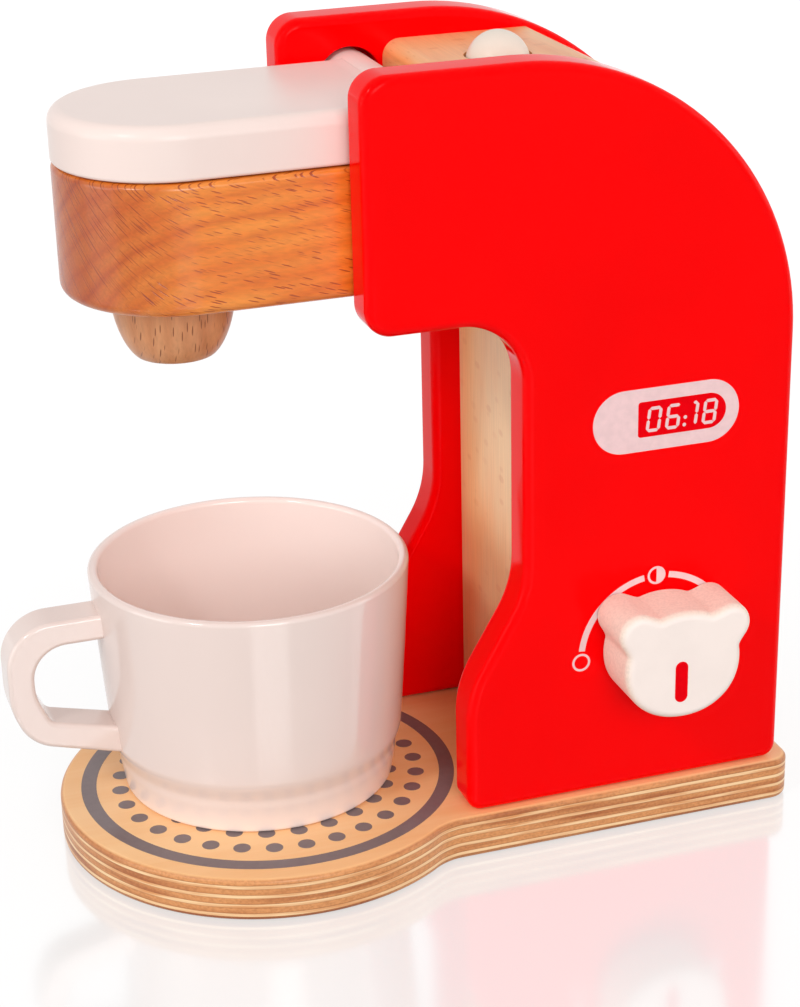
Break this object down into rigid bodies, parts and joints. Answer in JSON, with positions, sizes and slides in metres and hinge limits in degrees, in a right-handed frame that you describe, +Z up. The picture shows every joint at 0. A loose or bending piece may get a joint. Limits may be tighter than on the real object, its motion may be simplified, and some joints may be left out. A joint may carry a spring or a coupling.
{
  "type": "toy coffee maker",
  "caption": "Wooden toy coffee maker: side panels on a round-nosed base carry an arm with a hinged lid, spout, push button, animal-head knob and a cup with a handle.",
  "frame": {"origin": "on the underside of the base, at the centre of its round front lobe, midway between the side panels", "axes": "+X towards the side panel with the knob, +Y towards the rear, +Z up"},
  "size_m": [0.1133, 0.204, 0.2075],
  "materials": {
    "plywood": "satin clear varnish, plies showing at the edge",
    "red_lacquer": "gloss red lacquer on wood",
    "beech": "satin varnished beech",
    "turned_beech": "satin turned beech",
    "pale_wood": "satin varnished pale wood",
    "white_lacquer": "satin off-white lacquer on wood",
    "steel": "zinc plated",
    "rubber": "matte"
  },
  "bodies": {
    "frame": {"base_board": "plywood", "side_panel_right": "red_lacquer", "side_panel_left": "red_lacquer", "arm_block": "beech", "top_block": "pale_wood", "front_panel": "pale_wood", "rear_panel": "pale_wood", "nozzle": "turned_beech", "panel_dowels": "turned_beech", "base_screws": "steel", "knob_washer": "rubber", "button_spring": "steel"},
    "lid": {"lid": "white_lacquer", "hinge_bar": "white_lacquer"},
    "knob": {"knob": "white_lacquer", "knob_axle": "turned_beech", "knob_retainer": "steel", "knob_screw": "steel"},
    "button": {"button_dome": "white_lacquer", "button_washer": "steel", "button_screw": "steel"},
    "cup": {"cup": "white_lacquer", "cup_handle": "white_lacquer"}
  },
  "joints": [
    {"name": "lid_hinge", "type": "hinge", "parent": "frame", "child": "lid", "pos_m": [0, 0.0383, 0.191], "axis": [-1, 0, 0], "range_deg": [0, 105]},
    {"name": "knob_turn", "type": "hinge", "parent": "frame", "child": "knob", "pos_m": [0.0406, 0.0964, 0.0522], "axis": [1, 0, 0], "continuous": true},
    {"name": "button_press", "type": "slide", "parent": "frame", "child": "button", "axis": [0, 0, -1], "range_m": [0, 0.0035], "stiffness_N_per_m": 200, "springref_m": -0.002, "deforming": ["button_spring"]},
    {"name": "cup_slide", "type": "slide", "parent": "frame", "child": "cup", "axis": [0, -1, 0], "range_m": [0, 0.05]}
  ]
}
